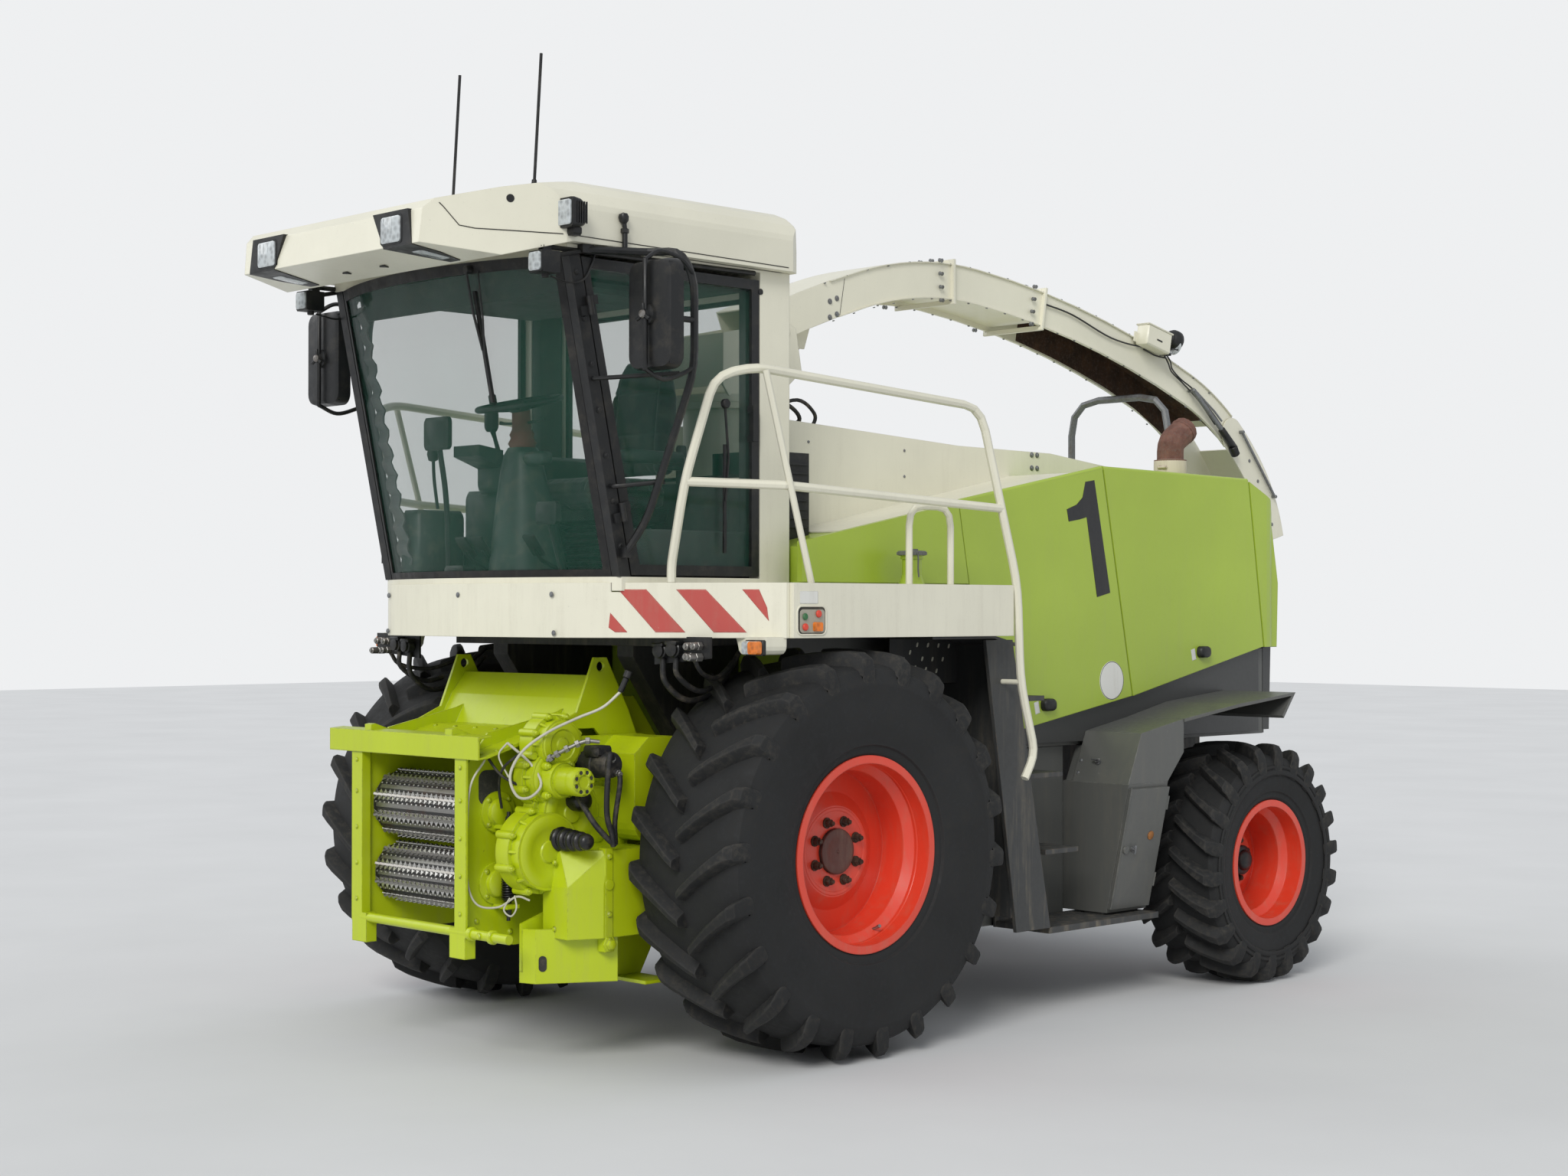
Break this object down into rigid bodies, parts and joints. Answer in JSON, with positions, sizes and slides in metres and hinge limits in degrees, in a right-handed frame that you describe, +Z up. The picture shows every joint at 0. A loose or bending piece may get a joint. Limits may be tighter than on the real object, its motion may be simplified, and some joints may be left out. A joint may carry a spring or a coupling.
{
  "type": "forage harvester",
  "caption": "Self-propelled forage harvester: feed intake with serrated rollers, glazed cab, hinged side panels, lugged tyres and a turning, lifting discharge spout.",
  "frame": {"origin": "on the ground, in the middle of the footprint of the machine's bounding box", "axes": "+X to the machine's left, -Y to its front, +Z up"},
  "size_m": [2.98, 6.8348, 4.4104],
  "materials": {
    "cream_paint": "cream paint, worn and dusty",
    "green_panel": "moulded green panel, slightly faded",
    "lime_paint": "bright yellow-green paint",
    "red_rim": "orange-red paint",
    "dark_sheet": "dark grey satin paint",
    "chassis_paint": "dusty black paint",
    "tyre_rubber": "dusty black rubber",
    "black_plastic": "matt black",
    "bare_steel": "scratched bare steel",
    "cast_engine": "cast, oily",
    "tinted_glass": "green tinted",
    "seat_fabric": "dark woven cloth",
    "console_plastic": "dark green-grey moulding",
    "rusty_pipe": "heat-rusted steel",
    "galvanised": "dull zinc"
  },
  "bodies": {
    "chassis": {"chassis_frame": "chassis_paint", "front_axle": "chassis_paint", "rear_axle": "chassis_paint", "engine_block": "cast_engine", "cab_frame": "cream_paint", "cab_roof": "cream_paint", "cab_glass": "tinted_glass", "seat": "seat_fabric", "steering_column": "console_plastic", "apron": "cream_paint", "walkways": "cream_paint", "handrails": "cream_paint", "steps": "dark_sheet", "mirrors": "black_plastic", "centre_beam": "cream_paint", "air_box": "black_plastic", "hood": "green_panel", "skirts": "dark_sheet", "exhaust": "rusty_pipe", "spout_rest": "galvanised", "lamps": "black_plastic", "antennas": "black_plastic", "front_pillars": "black_plastic", "mudguards": "dark_sheet", "storage_boxes": "dark_sheet", "rear_fenders": "dark_sheet", "filler_neck": "green_panel"},
    "wheel_front_left": {"rim_front_left": "red_rim", "tyre_front_left": "tyre_rubber"},
    "knuckle_left": {"knuckle_left": "chassis_paint"},
    "wheel_rear_left": {"rim_rear_left": "red_rim", "tyre_rear_left": "tyre_rubber"},
    "wheel_front_right": {"rim_front_right": "red_rim", "tyre_front_right": "tyre_rubber"},
    "knuckle_right": {"knuckle_right": "chassis_paint"},
    "wheel_rear_right": {"rim_rear_right": "red_rim", "tyre_rear_right": "tyre_rubber"},
    "intake": {"intake_housing": "lime_paint", "intake_drive": "lime_paint", "intake_springs": "black_plastic"},
    "upper_roller": {"upper_roller": "bare_steel"},
    "lower_roller": {"lower_roller": "bare_steel"},
    "lift_barrels": {"lift_cylinders": "chassis_paint"},
    "lift_rods": {"lift_rods": "bare_steel"},
    "cab_door": {"cab_door": "black_plastic", "door_glass": "tinted_glass"},
    "panel_front_left": {"panel_front_left": "green_panel"},
    "panel_rear_left": {"panel_rear_left": "green_panel"},
    "box_door_left": {"box_door_left": "dark_sheet"},
    "panel_front_right": {"panel_front_right": "green_panel"},
    "panel_rear_right": {"panel_rear_right": "green_panel"},
    "box_door_right": {"box_door_right": "dark_sheet"},
    "spout_turret": {"spout_turret": "cream_paint"},
    "spout": {"spout": "cream_paint", "spout_covers": "cream_paint", "spout_lamp": "black_plastic"},
    "spout_flap": {"spout_flap": "cream_paint"},
    "spout_barrel": {"spout_cylinder": "chassis_paint"},
    "spout_rod": {"spout_rod": "bare_steel"}
  },
  "joints": [
    {"name": "front_wheel_left_spin", "type": "hinge", "parent": "chassis", "child": "wheel_front_left", "pos_m": [1.24, -1.60744, 0.89018], "axis": [1, 0, 0], "continuous": true},
    {"name": "front_wheel_right_spin", "type": "hinge", "parent": "chassis", "child": "wheel_front_right", "pos_m": [-1.24, -1.60744, 0.89018], "axis": [1, 0, 0], "continuous": true},
    {"name": "steer_left", "type": "hinge", "parent": "chassis", "child": "knuckle_left", "pos_m": [0.98, 1.47156, 0.62543], "axis": [0, 0, 1], "range_deg": [-30, 30]},
    {"name": "steer_right", "type": "hinge", "parent": "chassis", "child": "knuckle_right", "pos_m": [-0.98, 1.47156, 0.62543], "axis": [0, 0, 1], "range_deg": [-30, 30]},
    {"name": "rear_wheel_left_spin", "type": "hinge", "parent": "knuckle_left", "child": "wheel_rear_left", "pos_m": [1.18, 1.47156, 0.62543], "axis": [1, 0, 0], "continuous": true},
    {"name": "rear_wheel_right_spin", "type": "hinge", "parent": "knuckle_right", "child": "wheel_rear_right", "pos_m": [-1.18, 1.47156, 0.62543], "axis": [1, 0, 0], "continuous": true},
    {"name": "intake_lift", "type": "hinge", "parent": "chassis", "child": "intake", "pos_m": [0, -1.90744, 1], "axis": [-1, 0, 0], "range_deg": [-10, 8]},
    {"name": "upper_roller_spin", "type": "hinge", "parent": "intake", "child": "upper_roller", "pos_m": [0, -2.79744, 1.08], "axis": [1, 0, 0], "continuous": true},
    {"name": "lower_roller_spin", "type": "hinge", "parent": "intake", "child": "lower_roller", "pos_m": [0, -2.80744, 0.775], "axis": [1, 0, 0], "continuous": true},
    {"name": "lift_barrels_swing", "type": "hinge", "parent": "chassis", "child": "lift_barrels", "pos_m": [0, -1.45744, 0.69], "axis": [-1, 0, 0], "range_deg": [-8, 8]},
    {"name": "lift_rods_stroke", "type": "slide", "parent": "lift_barrels", "child": "lift_rods", "axis": [0, -0.986, -0.1665], "range_m": [-0.09, 0.07]},
    {"name": "cab_door_hinge", "type": "hinge", "parent": "chassis", "child": "cab_door", "pos_m": [0.874, -2.46044, 2.09], "axis": [0, 0.2049, -0.9788], "range_deg": [0, 27]},
    {"name": "panel_front_left_hinge", "type": "hinge", "parent": "chassis", "child": "panel_front_left", "pos_m": [1.006, -0.53644, 2.465], "axis": [0, -0.9826, -0.1856], "range_deg": [0, 75]},
    {"name": "panel_rear_left_hinge", "type": "hinge", "parent": "chassis", "child": "panel_rear_left", "pos_m": [1.006, 0.57656, 2.673], "axis": [0, -0.9999, 0.011], "range_deg": [0, 75]},
    {"name": "box_door_left_hinge", "type": "hinge", "parent": "chassis", "child": "box_door_left", "pos_m": [1.2191, 0.68256, 0.4381], "axis": [0.2115, 0, 0.9774], "range_deg": [0, 90]},
    {"name": "panel_front_right_hinge", "type": "hinge", "parent": "chassis", "child": "panel_front_right", "pos_m": [-1.006, -0.53644, 2.465], "axis": [0, 0.9826, 0.1856], "range_deg": [0, 75]},
    {"name": "panel_rear_right_hinge", "type": "hinge", "parent": "chassis", "child": "panel_rear_right", "pos_m": [-1.006, 0.57656, 2.673], "axis": [0, 0.9999, -0.011], "range_deg": [0, 75]},
    {"name": "box_door_right_hinge", "type": "hinge", "parent": "chassis", "child": "box_door_right", "pos_m": [-1.2191, 0.68256, 0.4381], "axis": [0.2115, 0, -0.9774], "range_deg": [0, 90]},
    {"name": "spout_turn", "type": "hinge", "parent": "chassis", "child": "spout_turret", "pos_m": [0, -1.12744, 2.95], "axis": [0, 0, 1], "range_deg": [-95, 95]},
    {"name": "spout_lift", "type": "hinge", "parent": "spout_turret", "child": "spout", "pos_m": [0, -0.90744, 3.32], "axis": [1, 0, 0], "range_deg": [0, 30]},
    {"name": "spout_flap_tilt", "type": "hinge", "parent": "spout", "child": "spout_flap", "pos_m": [0, 2.87787, 3.00868], "axis": [1, 0, 0], "range_deg": [0, 50]},
    {"name": "spout_barrel_swing", "type": "hinge", "parent": "spout_turret", "child": "spout_barrel", "pos_m": [0, -1.03244, 3.03], "axis": [1, 0, 0], "range_deg": [-2, 20]},
    {"name": "spout_rod_stroke", "type": "slide", "parent": "spout_barrel", "child": "spout_rod", "axis": [0, 0.8287, 0.5597], "range_m": [-0.005, 0.09]}
  ],
  "couplings": [
    {"joint": "steer_right", "follows": "steer_left", "ratio": 1},
    {"joint": "lift_barrels_swing", "follows": "intake_lift", "ratio": 0.5},
    {"joint": "lift_rods_stroke", "follows": "intake_lift", "m_per_rad": 0.378},
    {"joint": "spout_barrel_swing", "follows": "spout_lift", "ratio": 0.44},
    {"joint": "spout_rod_stroke", "follows": "spout_lift", "m_per_rad": 0.146}
  ]
}
